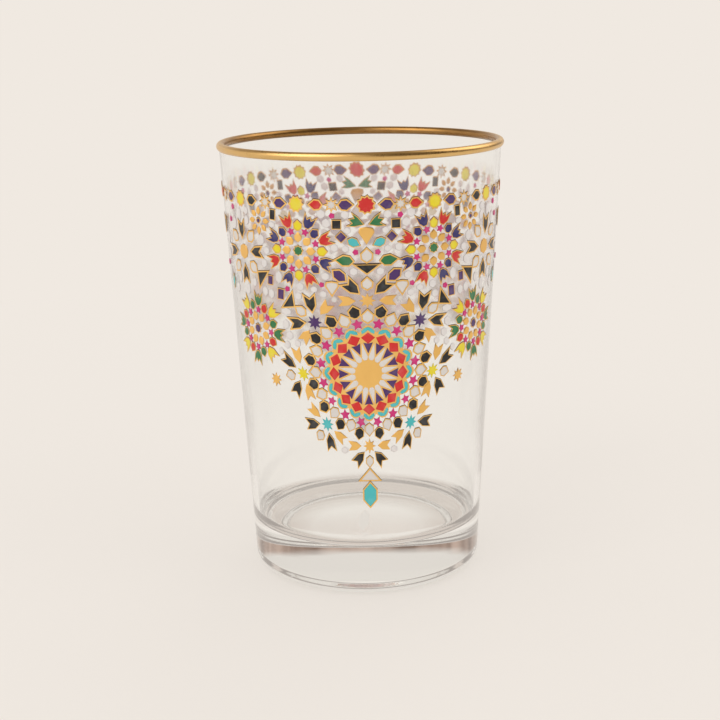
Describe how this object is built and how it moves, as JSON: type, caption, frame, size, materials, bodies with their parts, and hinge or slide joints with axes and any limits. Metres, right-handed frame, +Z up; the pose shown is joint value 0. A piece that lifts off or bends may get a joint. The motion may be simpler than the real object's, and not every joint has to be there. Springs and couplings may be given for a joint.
{
  "type": "tea glass",
  "caption": "Conical drinking glass with a thick solid base, a rounded gilded lip and raised enamel rosettes of geometric tiles on the front and the back.",
  "frame": {"origin": "middle of the foot ring, on the surface that the glass stands on", "axes": "+Z up along the axis of the glass, -Y through the middle of the front enamel field, +X to the right seen from the front"},
  "size_m": [0.0602, 0.0602, 0.0927],
  "materials": {
    "clear_glass": "clear pressed glass, fire polished",
    "gold": "fired bright gold, satin on the enamel, polished on the lip",
    "white_enamel": "raised gloss enamel, slightly grainy",
    "black_enamel": "raised gloss enamel, slightly grainy",
    "red_enamel": "raised gloss enamel, slightly grainy",
    "pink_enamel": "raised gloss enamel, slightly grainy",
    "purple_enamel": "raised gloss enamel, slightly grainy",
    "indigo_enamel": "raised gloss enamel, slightly grainy",
    "turquoise_enamel": "raised gloss enamel, slightly grainy",
    "green_enamel": "raised gloss enamel, slightly grainy",
    "yellow_enamel": "raised gloss enamel, slightly grainy",
    "frosted_enamel": "raised translucent frosted white"
  },
  "bodies": {
    "root": {"glass_body": "clear_glass", "rim_gilding": "gold", "gold_rosette_plates": "gold", "gold_tiles": "gold", "white_tiles": "white_enamel", "black_tiles": "black_enamel", "red_tiles": "red_enamel", "pink_tiles": "pink_enamel", "purple_tiles": "purple_enamel", "indigo_tiles": "indigo_enamel", "turquoise_tiles": "turquoise_enamel", "green_tiles": "green_enamel", "yellow_tiles": "yellow_enamel", "frosted_pearls": "frosted_enamel"}
  },
  "joints": []
}
